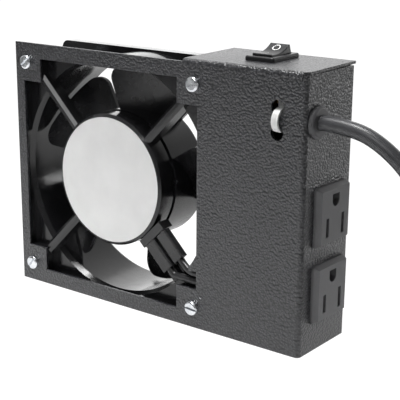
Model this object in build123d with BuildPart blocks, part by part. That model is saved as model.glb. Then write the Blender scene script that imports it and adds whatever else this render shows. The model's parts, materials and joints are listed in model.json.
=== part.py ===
from build123d import *
import math
import os

os.makedirs("parts", exist_ok=True)

# Folded sheet housing, in millimetres
sheet = 1.2
bend_inside = 1.0
box_width = 50.8
plate_margin = 4.5
flap_tilt = 1.0
flap_gap = 0.15
flap_overhang = 14.2
corner_relief = 0.3
flap_corner = 1.8

# Fan
fan_from_edge = 0.25
box_gap = 0.45
fan_size = 119.5
fan_depth = 38.0
hole_from_edge = 7.35
fan_hole = 4.3
rear_hole = 4.8
fan_corner = 4.0
flange_depth = 6.5
flange_recess = 4.4
flange_rim = 3.6
duct_from_edge = 2.75
duct_wall = 1.9
duct_flare = 1.6
boss_size = 16.25
base_radius = 32.3
base_depth = 10.0
base_wall = 2.0
base_edge = 1.0
label_radius = 30.7
label_thickness = 0.25
strut_width = 4.3
strut_front = 0.5
strut_depth = 6.3
strut_edge = 1.3
terminal_strut_width = 8.0
terminal_strut_front = 5.2
terminal_strut_depth = 3.0
terminal_strut_shift = -2.0

# Fan opening in the plate
opening_margin = 5.15
opening_tab = 11.6
hook_reach = 5.3
hook_from_corner = 28.3
hook_drop = 8.9
hook_height = 7.9

# Fan screws and nuts
screw_diameter = 4.0
screw_head = 7.0
screw_head_height = 2.0
screw_slot = 1.1
nut_flats = 7.0
nut_height = 3.2
thread_fit = 0.02

# Motor
bearing_outer = 16.0
bearing_width = 5.0
shaft_diameter = 5.0
bearing_fit = 0.03
tube_wall = 1.6
tube_depth = 27.0
front_bearing_depth = 5.0
bearing_shoulder = 1.2
stator_radius = 27.0
stator_gap = 0.7
stator_front = 12.0
stator_stack = 14.0
pole_width = 12.0
pole_shoe = 4.6
coil_thickness = 5.0
coil_clear = 0.3
rotor_ring_wall = 2.8
hub_wall = 2.4
hub_front = 11.3
hub_depth = 23.7
hub_boss = 5.5
shaft_front = 3.0
clip_thickness = 0.8
clip_radius = 4.0
spring_washer = 0.5

# Impeller blades
blade_count = 5
blade_clear = 1.5
blade_middle = 74.5
blade_half_angle = 23.5
blade_root_half_angle = 20.5
blade_thickness = 1.9
blade_depth = 20.6
blade_root_half = 16.0
blade_root_rise = 13.1
blade_outer_half = 28.0
blade_outer_rise = 11.8
blade_camber = 2.2
blade_corner = 7.0

# Fan terminals and leads
block_length = 4.0
block_width = 16.6
block_shift = 2.6
block_front = 0.6
block_depth = 7.0
spade_width = 4.8
spade_thickness = 0.8
spade_length = 7.0
sleeve_width = 7.0
sleeve_height = 4.2
sleeve_length = 15.5
sleeve_gap = 0.3
sleeve_shifts = (-1.0, 7.0)
sleeve_depths = (2.5, 3.4)
lead_diameter = 3.4
lead_from_corner = 14.2
lead_pitch = 4.0
lead_depth = 1.8
lead_notch_depth = 4.6

# Rocker switch on the top flap
switch_from_wall = 32.6
switch_y = 22.8
bezel_width = 15.2
bezel_length = 21.0
bezel_height = 2.0
switch_width = 12.8
switch_length = 18.8
switch_depth = 13.0
switch_wall = 1.2
rocker_gap = 0.2
rocker_tilt = 12.0
rocker_end = 7.7
rocker_top = 4.8
rocker_middle = 3.1
rocker_bottom = 4.0
pivot_pin = 3.0
pivot_pin_length = 0.9
plunger_diameter = 2.4
plunger_reach = 8.0
contact_bar_tilt = 8.0
contact_bar_length = 13.0
contact_bar_width = 3.4
contact_bar_thickness = 0.8
bar_knuckle = 0.6
contact_gap = 0.25
switch_tab_width = 4.8
switch_tab_length = 8.0
switch_tab_pitch = 6.0
panel_fit = 0.1

# Outlets on the right wall
outlet_y = 21.3
outlet_upper_level = -0.5
outlet_pitch = 34.8
outlet_base_width = 25.4
outlet_base_height = 26.6
outlet_rim = 1.2
outlet_proud = 3.4
outlet_bevel = 33.0
outlet_body_width = 21.8
outlet_body_height = 22.8
outlet_depth = 20.0
slot_width = 2.3
line_slot = 8.5
neutral_slot = 9.4
slot_offset = 6.35
slot_level = -4.9
ground_level = 6.7
ground_hole = 5.7
slot_depth = 16.0
contact_thickness = 0.8
contact_width = 6.3
contact_tail = 5.0
bus_thickness = 0.8
bus_width = 6.0
bus_overhang = 3.6

# Cord, grommet and tie
cord_y = 8.8
cord_from_top = 20.3
cord_diameter = 6.8
cord_inner_length = 23.0
grommet_outer = 14.4
grommet_inner = 13.0
grommet_hole = 11.0
grommet_bead = 2.2
grommet_round = 1.4
grommet_fit = 0.1
tie_from_wall = 14.2
tie_rise = 0.3
tie_hole = 6.3
tie_hole_pitch = 11.0
tie_width = 3.2
tie_thickness = 1.0
tie_bulge = 2.4
tie_height = 10.6
tie_head = 4.6
wire_diameter = 2.6

# Barrier, ground stud
barrier_thickness = 0.8
barrier_gap = 0.1
stud_from_wall = 33.0
stud_z = 18.0
stud_diameter = 4.0
stud_length = 9.0
ring_outer = 8.0
ring_thickness = 0.8
ring_barrel = 4.2
ring_barrel_length = 6.0

# Free cord, the hank it is folded into, and its plug
hank_run = 40.0
hank_inner = 20.8
hank_turns = 3
hank_layers = 2
hank_from_wall = 76.7
hank_y = 35.4
tail_turn = 25.0
wrap_thickness = 0.8
wrap_width = 14.0
plug_width = 25.0
plug_height = 27.0
plug_length = 30.0
plug_relief_length = 12.0
plug_blade_length = 17.9
plug_pin_length = 20.9

# Places that follow from the sizes
plate_height = fan_size + plate_margin
fan_inset = fan_size / 2 + fan_from_edge
fan_hole_pitch = fan_size - 2 * hole_from_edge
duct_bore = fan_size / 2 - duct_from_edge
duct_mouth = duct_bore + duct_flare
blade_tip = duct_bore - blade_clear
opening_half = fan_size / 2 - opening_margin
hook_top = hook_from_corner - opening_half
hook_tip = hook_top - hook_drop
hook_root = hook_top - hook_height
lead_low = lead_from_corner - opening_half
lead_levels = (lead_low, lead_low + lead_pitch)
outlet_levels = (outlet_upper_level, outlet_upper_level - outlet_pitch)
cord_z = plate_height / 2 - cord_from_top
tie_z = cord_z + tie_rise
bend_mid = bend_inside + sheet / 2
bend_outer = bend_inside + sheet
wall_x = fan_size / 2 + box_gap + box_width
plate_width = fan_inset + wall_x
x_left = -(plate_width + outlet_proud) / 2
x_right = x_left + plate_width
front_reach = max(tie_bulge, screw_head_height)
y_front = (front_reach - sheet - fan_depth) / 2
y_rear = y_front + sheet + fan_depth
fan_x = x_left + fan_inset
fan_z = plate_height / 2
box_left = x_right - box_width
flap_left = box_left - flap_overhang
bend_end = x_right - bend_outer - corner_relief
flap_slope = math.tan(math.radians(flap_tilt))
inside_right = x_right - sheet
switch_x = wall_x - switch_from_wall
tie_x = wall_x - tie_from_wall
stud_x = wall_x - stud_from_wall
hank_x = wall_x + hank_from_wall

plate_plane = Plane(origin=(fan_x, y_front, fan_z), x_dir=(1, 0, 0), z_dir=(0, -1, 0))
fan_plane = plate_plane.offset(-sheet)
wall_plane = Plane(origin=(x_right, y_front, fan_z), x_dir=(0, 1, 0), z_dir=(1, 0, 0))
fan_axis = Axis((fan_x, y_front, fan_z), (0, -1, 0))


# Height of the top flap's middle surface at a place behind the plate's front
def flap_middle(back):
    return plate_height + flap_gap + sheet / 2 + (back - sheet / 2) * flap_slope


flap_normal = (0, -math.sin(math.radians(flap_tilt)), math.cos(math.radians(flap_tilt)))
flap_plane = Plane(origin=(0, y_front, flap_middle(0)), x_dir=(1, 0, 0), z_dir=flap_normal)
switch_plane = Plane(
    origin=(fan_x + switch_x, y_front + switch_y, flap_middle(switch_y)),
    x_dir=(1, 0, 0),
    z_dir=flap_normal,
).offset(sheet / 2)


# A point given from the fan's centre and the plate's front
def at(right, back, up):
    return (fan_x + right, y_front + back, fan_z + up)


# A path of straight runs joined by the largest even arcs
def eased(points):
    radii = []
    for before, corner, after in zip(points, points[1:], points[2:]):
        run_in = Vector(*corner) - Vector(*before)
        run_out = Vector(*after) - Vector(*corner)
        turn = math.radians(run_in.get_angle(run_out))
        radii.append(0.45 * min(run_in.length, run_out.length) / math.tan(turn / 2))
    return radii


# Housing: plate, right wall and back wall are one folded strip
with BuildPart() as housing:
    with BuildSketch(Plane.XY):
        with BuildLine():
            FilletPolyline(
                (x_left, y_front + sheet / 2),
                (x_right - sheet / 2, y_front + sheet / 2),
                (x_right - sheet / 2, y_rear - sheet / 2),
                (box_left, y_rear - sheet / 2),
                radius=bend_mid,
            )
        trace(line_width=sheet)
    extrude(amount=plate_height)
    # Top flap: bend first, with a slit of relief beside it, then the flat, sprung up at the rear
    with Locations((flap_left, y_front, plate_height)):
        Box(
            bend_end + corner_relief - flap_left,
            sheet,
            bend_outer,
            align=(Align.MIN, Align.MIN, Align.MAX),
            mode=Mode.SUBTRACT,
        )
    with BuildSketch(Plane.YZ.offset(flap_left)):
        with BuildLine():
            FilletPolyline(
                (y_front + sheet / 2, plate_height - bend_outer - sheet),
                (y_front + sheet / 2, flap_middle(sheet / 2)),
                (y_front + bend_outer + sheet, flap_middle(bend_outer + sheet)),
                radius=bend_mid,
            )
        trace(line_width=sheet)
    extrude(amount=bend_end - flap_left)
    with BuildSketch(flap_plane.offset(-sheet / 2)):
        with BuildLine():
            Polyline(
                (flap_left, bend_outer),
                (bend_end + corner_relief, bend_outer),
                (bend_end + corner_relief, corner_relief),
                (x_right - flap_corner, corner_relief),
                (x_right, corner_relief + flap_corner),
                (x_right, y_rear - y_front),
                (flap_left, y_rear - y_front),
                close=True,
            )
        make_face()
    extrude(amount=sheet)
    # Bottom flap, folded forward from the back wall
    with Locations((box_left, y_rear, 0)):
        Box(
            bend_end - box_left,
            sheet,
            bend_outer,
            align=(Align.MIN, Align.MAX, Align.MIN),
            mode=Mode.SUBTRACT,
        )
    with BuildSketch(Plane.YZ.offset(box_left)):
        with BuildLine():
            FilletPolyline(
                (y_rear - sheet / 2, bend_outer + sheet),
                (y_rear - sheet / 2, sheet / 2),
                (y_rear - bend_outer - sheet, sheet / 2),
                radius=bend_mid,
            )
        trace(line_width=sheet)
    extrude(amount=bend_end - box_left)
    with BuildSketch(Plane.YZ.offset(box_left)):
        with BuildLine():
            Line(
                (y_rear - bend_outer - flap_gap, sheet / 2),
                (y_front + sheet + flap_gap, sheet / 2),
            )
        trace(line_width=sheet)
    extrude(amount=inside_right - flap_gap - box_left)
    # Fan opening with its four screw tabs and the hook that holds the leads
    with BuildSketch(plate_plane):
        Rectangle(2 * opening_half, 2 * opening_half)
        tab_pitch = 2 * opening_half - opening_tab
        with GridLocations(tab_pitch, tab_pitch, 2, 2):
            Rectangle(opening_tab, opening_tab, mode=Mode.SUBTRACT)
        with BuildLine():
            Polyline(
                (opening_half, hook_top),
                (opening_half - hook_reach, hook_tip),
                (opening_half, hook_root),
                close=True,
            )
        make_face(mode=Mode.SUBTRACT)
    extrude(amount=-sheet, mode=Mode.SUBTRACT)
    with BuildSketch(plate_plane):
        with GridLocations(fan_hole_pitch, fan_hole_pitch, 2, 2):
            Circle(fan_hole / 2)
        with Locations((tie_x, tie_z)):
            with GridLocations(0, tie_hole_pitch, 1, 2):
                Circle(tie_hole / 2)
    extrude(amount=-sheet, mode=Mode.SUBTRACT)
    # Cut-outs of the right wall and of the top flap
    with BuildSketch(wall_plane):
        with Locations((cord_y, cord_z)):
            Circle(grommet_hole / 2)
        for level in outlet_levels:
            with Locations((outlet_y, level)):
                Rectangle(outlet_body_width + 2 * panel_fit, outlet_body_height + 2 * panel_fit)
    extrude(amount=-sheet, mode=Mode.SUBTRACT)
    with BuildSketch(switch_plane):
        Rectangle(switch_width + 2 * panel_fit, switch_length + 2 * panel_fit)
    extrude(amount=-sheet, mode=Mode.SUBTRACT)
housing.part.label = "housing"
export_step(housing.part, "parts/housing.step")

# One plain strut of the fan, a bar with its front edges taken off
strut_inner = base_radius - base_wall / 2
strut_outer = (fan_size / 2 - boss_size) * math.sqrt(2) + strut_width
strut_length = strut_outer - strut_inner
strut_middle = (strut_outer + strut_inner) / 2
with BuildPart() as strut:
    with BuildSketch(fan_plane.offset(-strut_front)):
        with PolarLocations(strut_middle, 1, start_angle=45):
            Rectangle(strut_length, strut_width)
    extrude(amount=-strut_depth, taper=-8)
    chamfer(strut.edges().group_by(Axis.Y)[0].sort_by(SortBy.LENGTH)[-2:], length=strut_edge)

# Fan frame: two flanges on a short duct, motor base on four struts
with BuildPart() as fan_frame:
    with BuildSketch(fan_plane):
        RectangleRounded(fan_size, fan_size, fan_corner)
    extrude(amount=-flange_depth)
    with BuildSketch(fan_plane.offset(flange_depth - fan_depth)):
        RectangleRounded(fan_size, fan_size, fan_corner)
    extrude(amount=-flange_depth)
    with BuildSketch(fan_plane):
        Circle(duct_bore + duct_wall)
    extrude(amount=-fan_depth)
    # Recessed web of the front flange between rim and corner bosses
    with BuildSketch(fan_plane):
        Rectangle(fan_size - 2 * flange_rim, fan_size - 2 * flange_rim)
        boss_pitch = fan_size - boss_size
        with GridLocations(boss_pitch, boss_pitch, 2, 2):
            Rectangle(boss_size, boss_size, mode=Mode.SUBTRACT)
    extrude(amount=-flange_recess, mode=Mode.SUBTRACT)
    # Bore with flared mouths
    with BuildSketch(Plane(origin=fan_plane.origin, x_dir=(1, 0, 0), z_dir=(0, 0, 1))):
        mouth = duct_mouth - duct_bore
        with BuildLine():
            Polyline(
                (0, 0),
                (duct_mouth, 0),
                (duct_mouth, flange_recess),
                (duct_bore, flange_recess + 1.5 * mouth),
                (duct_bore, fan_depth - 1.5 * mouth),
                (duct_mouth, fan_depth),
                (0, fan_depth),
                close=True,
            )
        make_face()
    revolve(axis=fan_axis, mode=Mode.SUBTRACT)
    # Motor base cup with the bearing tube
    with BuildSketch(fan_plane):
        Circle(base_radius)
    extrude(amount=-base_depth)
    with BuildSketch(fan_plane.offset(-base_wall)):
        Circle(base_radius - base_wall)
    extrude(amount=base_wall - base_depth, mode=Mode.SUBTRACT)
    with BuildSketch(fan_plane.offset(-base_wall)):
        Circle(bearing_outer / 2 + tube_wall)
    extrude(amount=base_wall - tube_depth)
    front_rim = fan_frame.edges().filter_by(GeomType.CIRCLE).filter_by(
        lambda e: abs(e.radius - base_radius) < 0.01
    ).sort_by(Axis.Y)[0]
    chamfer(front_rim, length=base_edge)
    # Three plain struts, then the one that carries the terminals
    for turn in (0, 90, 180):
        add(strut.part.rotate(fan_axis, turn))
    with BuildSketch(fan_plane.offset(-terminal_strut_front)):
        with PolarLocations(strut_middle, 1, start_angle=-45):
            with Locations((0, terminal_strut_shift)):
                Rectangle(strut_length, terminal_strut_width)
    extrude(amount=-terminal_strut_depth)
    with BuildSketch(fan_plane):
        Circle(label_radius + 0.1)
    extrude(amount=-label_thickness, mode=Mode.SUBTRACT)
    with BuildSketch(fan_plane.offset(-base_wall)):
        Circle(bearing_outer / 2 - bearing_shoulder)
    extrude(amount=base_wall - tube_depth, mode=Mode.SUBTRACT)
    with BuildSketch(fan_plane.offset(-base_wall)):
        Circle(bearing_outer / 2)
    extrude(amount=base_wall - front_bearing_depth - bearing_width, mode=Mode.SUBTRACT)
    with BuildSketch(fan_plane.offset(bearing_width - tube_depth)):
        Circle(bearing_outer / 2)
    extrude(amount=-bearing_width, mode=Mode.SUBTRACT)
    # Screw holes through both flanges, and the notch for the leads
    with BuildSketch(fan_plane):
        with GridLocations(fan_hole_pitch, fan_hole_pitch, 2, 2):
            Circle(fan_hole / 2)
    extrude(amount=-flange_depth, mode=Mode.SUBTRACT)
    with BuildSketch(fan_plane.offset(flange_depth - fan_depth)):
        with GridLocations(fan_hole_pitch, fan_hole_pitch, 2, 2):
            Circle(rear_hole / 2)
    extrude(amount=-flange_depth, mode=Mode.SUBTRACT)
    with BuildSketch(fan_plane):
        notch_top = max(lead_levels) + lead_diameter / 2 + sleeve_gap
        notch_bottom = min(lead_levels) - lead_diameter / 2 - sleeve_gap
        with Locations((fan_size / 2, notch_bottom)):
            Rectangle(
                3 * flange_rim,
                notch_top - notch_bottom,
                align=(Align.CENTER, Align.MIN),
            )
    extrude(amount=-flange_recess, mode=Mode.SUBTRACT)
fan_frame.part.label = "fan_frame"
export_step(fan_frame.part, "parts/fan_frame.step")

with BuildPart() as fan_label:
    with BuildSketch(fan_plane.offset(-0.05)):
        Circle(label_radius)
    extrude(amount=0.05 - label_thickness)
fan_label.part.label = "fan_label"
export_step(fan_label.part, "parts/fan_label.step")

# Slotted screws, each slot as it was left by the driver
half_pitch = fan_hole_pitch / 2
screw_places = (
    (-half_pitch, half_pitch, 40),
    (half_pitch, half_pitch, 8),
    (half_pitch, -half_pitch, -6),
    (-half_pitch, -half_pitch, 52),
)
screw_reach = sheet + flange_depth + nut_height + screw_diameter / 2
with BuildPart() as fan_screws:
    for right, up, turn in screw_places:
        with BuildSketch(plate_plane):
            with Locations((right, up)):
                Circle(screw_head / 2)
        extrude(amount=screw_head_height)
    crowns = fan_screws.faces().filter_by(Axis.Y).group_by(Axis.Y)[0].edges()
    fillet(crowns, radius=screw_head_height * 0.55)
    for right, up, turn in screw_places:
        with BuildSketch(plate_plane.offset(screw_head_height)):
            with Locations(Location((right, up), turn)):
                Rectangle(screw_head, screw_slot)
        extrude(amount=-screw_head_height / 2, mode=Mode.SUBTRACT)
        with BuildSketch(plate_plane):
            with Locations((right, up)):
                Circle(screw_diameter / 2)
        extrude(amount=-screw_reach)
fan_screws.part.label = "fan_screws"
export_step(fan_screws.part, "parts/fan_screws.step")

with BuildPart() as fan_nuts:
    with BuildSketch(fan_plane.offset(-flange_depth)):
        with GridLocations(fan_hole_pitch, fan_hole_pitch, 2, 2):
            RegularPolygon(nut_flats / 2, 6, major_radius=False)
            Circle(screw_diameter / 2 + thread_fit, mode=Mode.SUBTRACT)
    extrude(amount=-nut_height)
fan_nuts.part.label = "fan_nuts"
export_step(fan_nuts.part, "parts/fan_nuts.step")

# Ball bearings in the tube
with BuildPart() as front_bearing:
    with BuildSketch(fan_plane.offset(-front_bearing_depth)):
        Circle(bearing_outer / 2 - bearing_fit)
        Circle(shaft_diameter / 2 + bearing_fit, mode=Mode.SUBTRACT)
    extrude(amount=-bearing_width)
front_bearing.part.label = "front_bearing"
export_step(front_bearing.part, "parts/front_bearing.step")

with BuildPart() as rear_bearing:
    with BuildSketch(fan_plane.offset(bearing_width - tube_depth)):
        Circle(bearing_outer / 2 - bearing_fit)
        Circle(shaft_diameter / 2 + bearing_fit, mode=Mode.SUBTRACT)
    extrude(amount=-bearing_width)
rear_bearing.part.label = "rear_bearing"
export_step(rear_bearing.part, "parts/rear_bearing.step")

# Stator: four poles on the bearing tube, one coil round each
tube_radius = bearing_outer / 2 + tube_wall
shoe_inner = stator_radius - pole_shoe
yoke_radius = tube_radius + 0.7 * pole_shoe
with BuildPart() as stator_core:
    with BuildSketch(fan_plane.offset(-stator_front)):
        Circle(stator_radius)
        Circle(shoe_inner, mode=Mode.SUBTRACT)
        with PolarLocations(stator_radius, 4, start_angle=45):
            Rectangle(4 * pole_shoe, pole_shoe, mode=Mode.SUBTRACT)
        with PolarLocations((shoe_inner + tube_radius) / 2, 4):
            Rectangle(shoe_inner - tube_radius + pole_shoe, pole_width)
        Circle(yoke_radius)
        Circle(tube_radius + thread_fit, mode=Mode.SUBTRACT)
    extrude(amount=-stator_stack)
stator_core.part.label = "stator_core"
export_step(stator_core.part, "parts/stator_core.step")

coil_front = stator_front - coil_thickness / 2
coil_stack = stator_stack + coil_thickness
coil_half = pole_width / 2 + 0.8 * coil_thickness
coil_start = yoke_radius + coil_clear
coil_height = math.sqrt(shoe_inner**2 - coil_half**2) - coil_clear - coil_start
with BuildPart() as stator_coils:
    with BuildSketch(fan_plane.offset(-coil_front)):
        with PolarLocations(coil_start + coil_height / 2, 4):
            Rectangle(coil_height, 2 * coil_half)
    extrude(amount=-coil_stack)
    with BuildSketch(fan_plane.offset(-stator_front)):
        with PolarLocations(coil_start + coil_height / 2, 4):
            Rectangle(coil_height, pole_width)
    extrude(amount=-stator_stack, mode=Mode.SUBTRACT)
    fillet(stator_coils.edges().filter_by(Axis.Y).group_by(SortBy.LENGTH)[-1], radius=0.8)
stator_coils.part.label = "stator_coils"
export_step(stator_coils.part, "parts/stator_coils.step")

# Rotor side: ring, shaft, clip and spring washer turn with the impeller
ring_inner = stator_radius + stator_gap
ring_outer_radius = ring_inner + rotor_ring_wall
hub_radius = ring_outer_radius + hub_wall
hub_rear_wall = hub_wall
hub_floor = hub_front + hub_depth - hub_rear_wall
with BuildPart() as rotor_ring:
    with BuildSketch(fan_plane.offset(-hub_front - 1.0)):
        Circle(ring_outer_radius - thread_fit)
        Circle(ring_inner, mode=Mode.SUBTRACT)
    extrude(amount=hub_front + 1.0 - hub_floor)
rotor_ring.part.label = "rotor_ring"
export_step(rotor_ring.part, "parts/rotor_ring.step")

with BuildPart() as rotor_shaft:
    with BuildSketch(fan_plane.offset(-shaft_front)):
        Circle(shaft_diameter / 2)
    extrude(amount=shaft_front - hub_floor)
    chamfer(rotor_shaft.edges().group_by(Axis.Y)[0], length=0.4)
rotor_shaft.part.label = "rotor_shaft"
export_step(rotor_shaft.part, "parts/rotor_shaft.step")

with BuildPart() as shaft_clip:
    with BuildSketch(fan_plane.offset(contact_gap + clip_thickness - front_bearing_depth)):
        Circle(clip_radius)
        Circle(shaft_diameter / 2 + thread_fit, mode=Mode.SUBTRACT)
        with Locations((0, -clip_radius)):
            Rectangle(0.7 * shaft_diameter, 2 * clip_radius, mode=Mode.SUBTRACT)
    extrude(amount=-clip_thickness)
shaft_clip.part.label = "shaft_clip"
export_step(shaft_clip.part, "parts/shaft_clip.step")

with BuildPart() as washer:
    with BuildSketch(fan_plane.offset(-tube_depth - contact_gap)):
        Circle(clip_radius)
        Circle(shaft_diameter / 2 + thread_fit, mode=Mode.SUBTRACT)
    extrude(amount=-spring_washer)
washer.part.label = "spring_washer"
export_step(washer.part, "parts/spring_washer.step")

# One blade: twisted between hub and tip, trimmed to a petal with round corners
blade_angle = math.radians(blade_middle)
outward = (math.cos(blade_angle), 0, math.sin(blade_angle))
along = (-math.sin(blade_angle), 0, math.cos(blade_angle))


# Section plane of the blade, square to its radius
def blade_plane(radius):
    centre = at(radius * outward[0], sheet + blade_depth, radius * outward[2])
    return Plane(origin=centre, x_dir=along, z_dir=outward)


root_radius = ring_inner - 1.5
outer_radius = blade_tip + 4.5
with BuildPart() as blade:
    for radius, half, rise in (
        (root_radius, blade_root_half, blade_root_rise),
        (outer_radius, blade_outer_half, blade_outer_rise),
    ):
        slant = math.atan2(rise, half)
        bulge = (blade_camber * math.sin(slant), -blade_camber * math.cos(slant))
        with BuildSketch(blade_plane(radius)):
            with BuildLine():
                ThreePointArc((-half, -rise), bulge, (half, rise))
            trace(line_width=blade_thickness)
    loft()
    with BuildSketch(fan_plane):
        tip_first = blade_middle - blade_half_angle
        root_first = blade_middle - blade_root_half_angle
        with BuildLine():
            tip_arc = CenterArc((0, 0), blade_tip, tip_first, 2 * blade_half_angle)
            root_arc = CenterArc(
                (0, 0), hub_radius - hub_wall / 2, root_first, 2 * blade_root_half_angle
            )
            Line(tip_arc @ 0, root_arc @ 0)
            Line(tip_arc @ 1, root_arc @ 1)
        petal = make_face()
        corners = petal.vertices().filter_by(
            lambda v: (v.center() - Vector(0, 0, 0)).length > blade_tip - 0.01
        )
        fillet(corners, radius=blade_corner)
    extrude(amount=-fan_depth, mode=Mode.INTERSECT)

with BuildPart() as impeller:
    with BuildSketch(fan_plane.offset(-hub_front)):
        Circle(hub_radius)
    extrude(amount=-hub_depth)
    fillet(impeller.edges().group_by(Axis.Y)[-1], radius=2.0)
    for step in range(blade_count):
        add(blade.part.rotate(fan_axis, 360 / blade_count * step))
    with BuildSketch(fan_plane.offset(-hub_front)):
        Circle(ring_outer_radius)
    extrude(amount=hub_front - hub_floor, mode=Mode.SUBTRACT)
    with BuildSketch(fan_plane.offset(-tube_depth - spring_washer - 2 * contact_gap)):
        Circle(hub_boss)
    extrude(amount=tube_depth + spring_washer + 2 * contact_gap - hub_floor)
    with BuildSketch(fan_plane.offset(-tube_depth)):
        Circle(shaft_diameter / 2 + thread_fit)
    extrude(amount=tube_depth - hub_floor, mode=Mode.SUBTRACT)
impeller.part.label = "impeller"
export_step(impeller.part, "parts/impeller.step")

# Terminals on the lower right strut, on a plane whose X runs out along the strut
strut_plane = Plane(
    origin=fan_plane.origin,
    x_dir=(math.sqrt(0.5), 0, -math.sqrt(0.5)),
    z_dir=(0, -1, 0),
)
block_start = base_radius + contact_gap
block_end = block_start + block_length
with BuildPart() as terminal_block:
    with BuildSketch(strut_plane.offset(-block_front)):
        with Locations((block_start, block_shift)):
            Rectangle(block_length, block_width, align=(Align.MIN, Align.CENTER))
        Circle(base_radius + contact_gap, mode=Mode.SUBTRACT)
    extrude(amount=-block_depth)
    with BuildSketch(strut_plane.offset(-terminal_strut_front)):
        with Locations((block_start, terminal_strut_shift)):
            Rectangle(
                4 * block_length,
                terminal_strut_width + 0.2,
                align=(Align.CENTER, Align.CENTER),
            )
    extrude(amount=-block_depth, mode=Mode.SUBTRACT)
    for shift, depth in zip(sleeve_shifts, sleeve_depths):
        with BuildSketch(strut_plane.offset(spade_thickness / 2 - depth)):
            with Locations((block_end, shift)):
                Rectangle(block_length, spade_width)
        extrude(amount=-spade_thickness, mode=Mode.SUBTRACT)
terminal_block.part.label = "terminal_block"
export_step(terminal_block.part, "parts/terminal_block.step")

with BuildPart() as fan_terminals:
    for shift, depth in zip(sleeve_shifts, sleeve_depths):
        with BuildSketch(strut_plane.offset(spade_thickness / 2 - depth)):
            with Locations((block_end - block_length / 2, shift)):
                Rectangle(
                    spade_length + block_length / 2,
                    spade_width,
                    align=(Align.MIN, Align.CENTER),
                )
        extrude(amount=-spade_thickness)
fan_terminals.part.label = "fan_terminals"
export_step(fan_terminals.part, "parts/fan_terminals.step")

sleeve_start = block_end + sleeve_gap
sleeve_end = sleeve_start + sleeve_length
with BuildPart() as terminal_sleeves:
    for shift, depth in zip(sleeve_shifts, sleeve_depths):
        with BuildSketch(strut_plane.offset(sleeve_height / 2 - depth)):
            with Locations((sleeve_start, shift)):
                Rectangle(sleeve_length, sleeve_width, align=(Align.MIN, Align.CENTER))
        extrude(amount=-sleeve_height)
    fillet(terminal_sleeves.edges().filter_by(lambda e: abs(e.length - sleeve_length) < 0.01), 0.9)
    for shift, depth in zip(sleeve_shifts, sleeve_depths):
        with BuildSketch(strut_plane.offset(spade_thickness / 2 + 0.05 - depth)):
            with Locations((sleeve_start, shift)):
                Rectangle(
                    spade_length,
                    spade_width + 0.1,
                    align=(Align.MIN, Align.CENTER),
                )
        extrude(amount=-spade_thickness - 0.1, mode=Mode.SUBTRACT)
terminal_sleeves.part.label = "terminal_sleeves"
export_step(terminal_sleeves.part, "parts/terminal_sleeves.step")


# Place on the strut, given from the fan's centre and the plate's front
def on_strut(out, shift, depth):
    diagonal = math.sqrt(0.5)
    return at(diagonal * (out + shift), sheet + depth, diagonal * (shift - out))


# Solder places on the bus bars
bus_face = wall_x - outlet_depth - bus_thickness
line_y = outlet_y - slot_offset - slot_width / 2 - contact_thickness / 2 - 0.05
neutral_y = outlet_y + slot_offset + slot_width / 2 + contact_thickness / 2 + 0.05
upper_joint = outlet_levels[0] + 2.5
lower_joint = (outlet_levels[0] + outlet_levels[1]) / 2 - 4.0

lead_paths = (
    [
        on_strut(sleeve_end, sleeve_shifts[0], sleeve_depths[0]),
        on_strut(sleeve_end + 3.6, sleeve_shifts[0], sleeve_depths[0]),
        at(opening_half - 4.0, sheet + lead_depth, lead_levels[0]),
        at(fan_size / 2 + 6.0, sheet + lead_depth, lead_levels[0]),
        at(fan_size / 2 + 13.0, 8.0, lead_levels[0] + 4.5),
        at(bus_face - 9.0, line_y, lower_joint),
        at(bus_face, line_y, lower_joint),
    ],
    [
        on_strut(sleeve_end, sleeve_shifts[1], sleeve_depths[1]),
        on_strut(sleeve_end + 2.4, sleeve_shifts[1], sleeve_depths[1]),
        at(opening_half - 5.8, sheet + lead_depth, lead_levels[1]),
        at(fan_size / 2 + 6.0, sheet + lead_depth, lead_levels[1]),
        at(fan_size / 2 + 12.0, 13.0, lead_levels[1] + 6.0),
        at(bus_face - 10.0, neutral_y, lower_joint),
        at(bus_face, neutral_y, lower_joint),
    ],
)
with BuildPart() as fan_leads:
    for points in lead_paths:
        with BuildLine() as lead_route:
            FilletPolyline(*points, radius=eased(points))
        with BuildSketch(Plane(origin=lead_route.line @ 0, z_dir=lead_route.line % 0)):
            Circle(lead_diameter / 2)
        sweep(path=lead_route.line)
fan_leads.part.label = "fan_leads"
export_step(fan_leads.part, "parts/fan_leads.step")

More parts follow.
